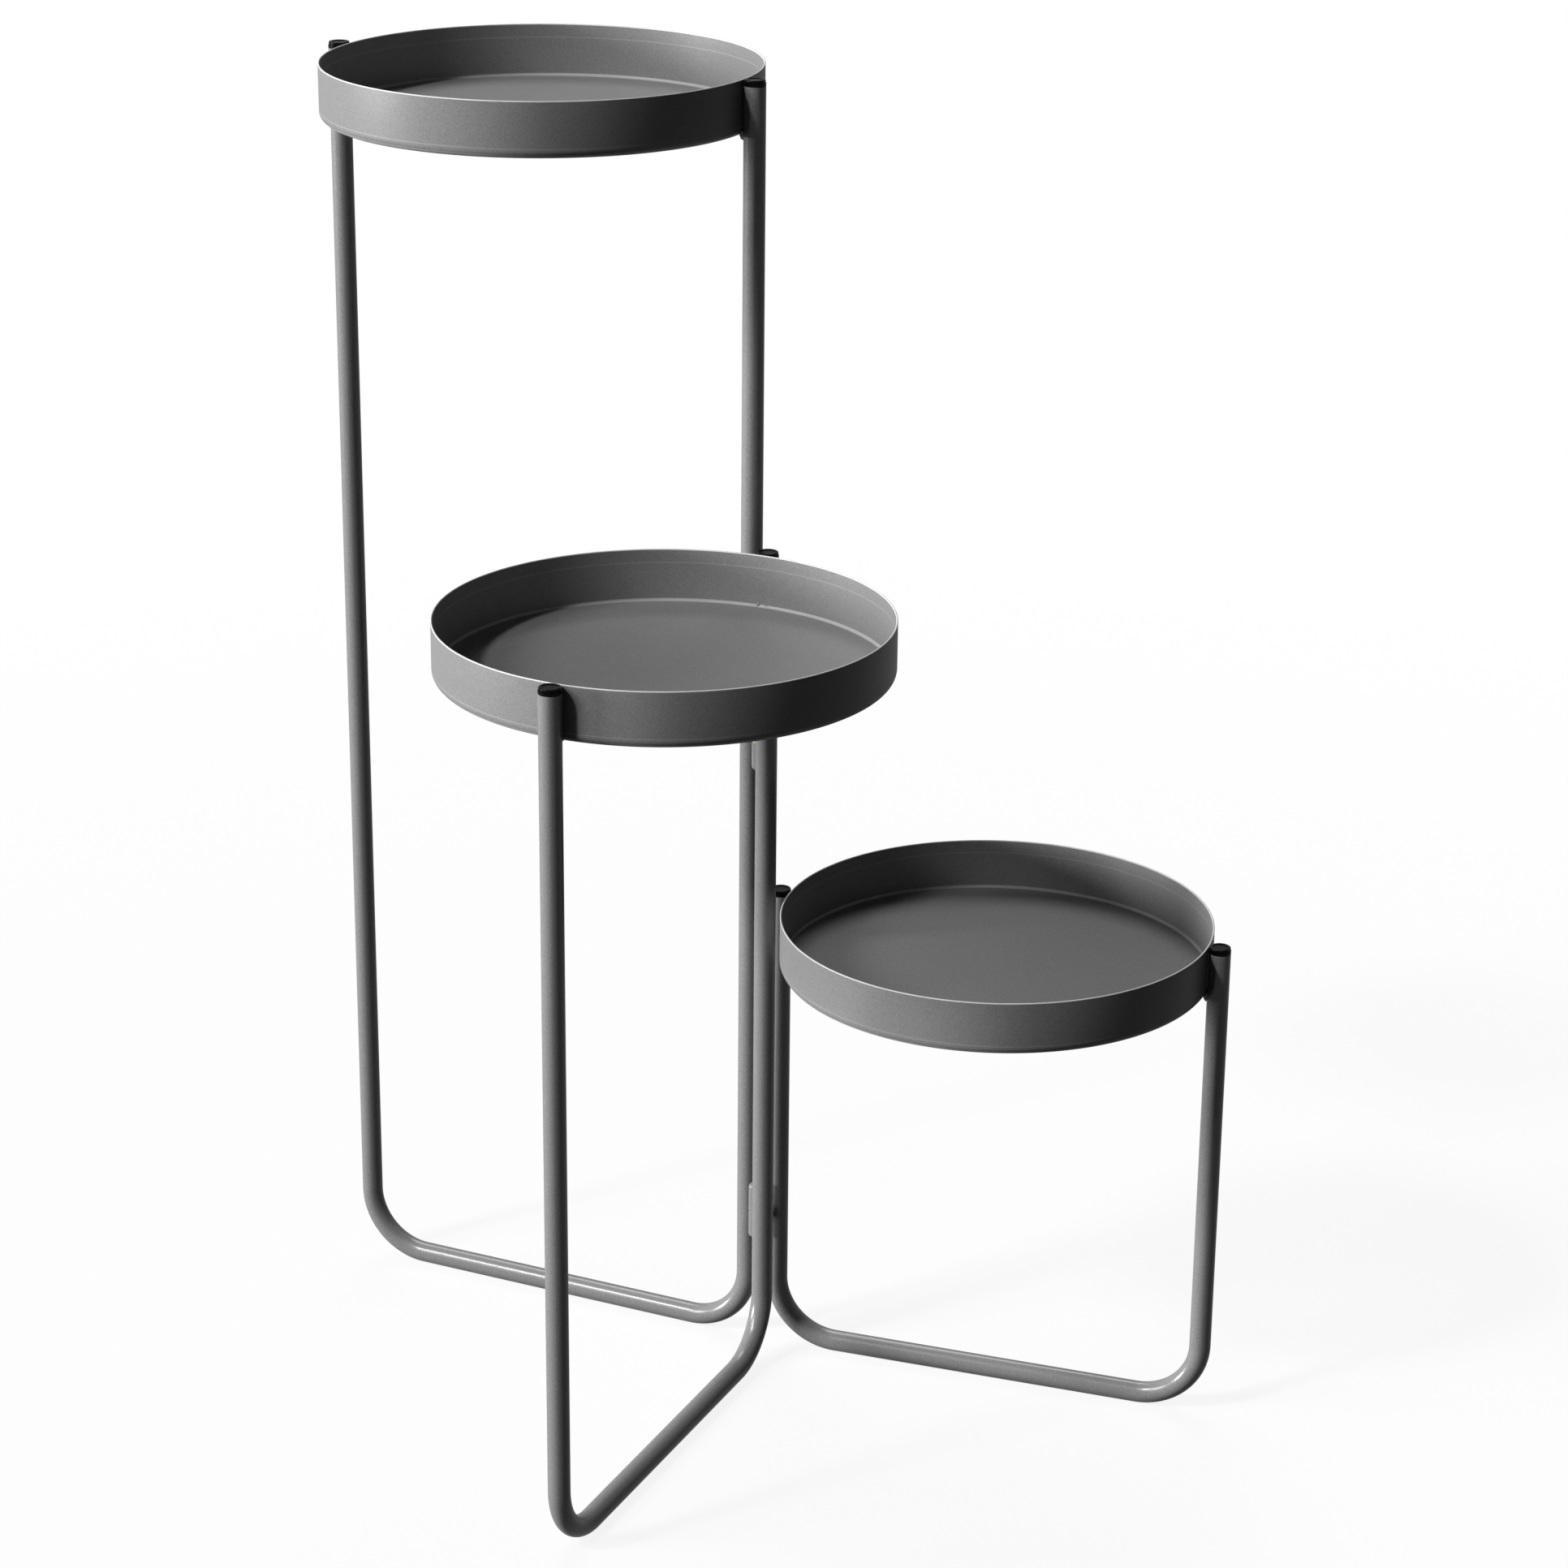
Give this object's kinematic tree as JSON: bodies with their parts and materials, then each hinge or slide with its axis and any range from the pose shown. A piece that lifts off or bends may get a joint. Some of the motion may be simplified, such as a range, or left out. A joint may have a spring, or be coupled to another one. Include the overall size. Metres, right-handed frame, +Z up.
{
  "type": "tiered plant stand",
  "caption": "Folding tiered plant stand: hinged U-shaped tube frames at different heights, each holding a round shallow tray between its uprights.",
  "frame": {"origin": "on the floor, under the middle of the whole stand's bounding box at rest", "axes": "+Z up, the tall frame runs from the hinge line towards -X, the middle frame towards -Y, the low frame towards +X turned 6 degrees to +Y"},
  "size_m": [0.7122, 0.5474, 0.9856],
  "materials": {
    "frame_paint": "satin powder coat, grey",
    "tray_paint": "satin powder coat, grey, with faint spinning marks",
    "plug_plastic": "gloss black",
    "pin_steel": "bright, greased",
    "washer_brass": "bright"
  },
  "bodies": {
    "tall_frame": {"tall_tube": "frame_paint", "tall_tray": "tray_paint", "tall_tray_welds": "frame_paint", "tall_inner_plug": "plug_plastic", "tall_outer_plug": "plug_plastic", "tall_hinge_welds": "frame_paint", "middle_bottom_hinge_lower_knuckle": "frame_paint", "middle_bottom_hinge_pin": "pin_steel", "middle_bottom_hinge_washer": "washer_brass", "middle_top_hinge_lower_knuckle": "frame_paint", "middle_top_hinge_pin": "pin_steel", "middle_top_hinge_washer": "washer_brass", "low_bottom_hinge_lower_knuckle": "frame_paint", "low_bottom_hinge_pin": "pin_steel", "low_bottom_hinge_washer": "washer_brass", "low_top_hinge_lower_knuckle": "frame_paint", "low_top_hinge_pin": "pin_steel", "low_top_hinge_washer": "washer_brass"},
    "middle_frame": {"middle_tube": "frame_paint", "middle_tray": "tray_paint", "middle_tray_welds": "frame_paint", "middle_inner_plug": "plug_plastic", "middle_outer_plug": "plug_plastic", "middle_hinge_welds": "frame_paint", "middle_bottom_hinge_upper_knuckle": "frame_paint", "middle_top_hinge_upper_knuckle": "frame_paint"},
    "low_frame": {"low_tube": "frame_paint", "low_tray": "tray_paint", "low_tray_welds": "frame_paint", "low_inner_plug": "plug_plastic", "low_outer_plug": "plug_plastic", "low_hinge_welds": "frame_paint", "low_bottom_hinge_upper_knuckle": "frame_paint", "low_top_hinge_upper_knuckle": "frame_paint"}
  },
  "joints": [
    {"name": "middle_fold", "type": "hinge", "parent": "tall_frame", "child": "middle_frame", "pos_m": [0.00033, 0.08275, 0], "axis": [0, 0, 1], "range_deg": [-90, 10]},
    {"name": "low_fold", "type": "hinge", "parent": "tall_frame", "child": "low_frame", "pos_m": [0.00033, 0.10679, 0], "axis": [0, 0, 1], "range_deg": [-2, 174]}
  ]
}
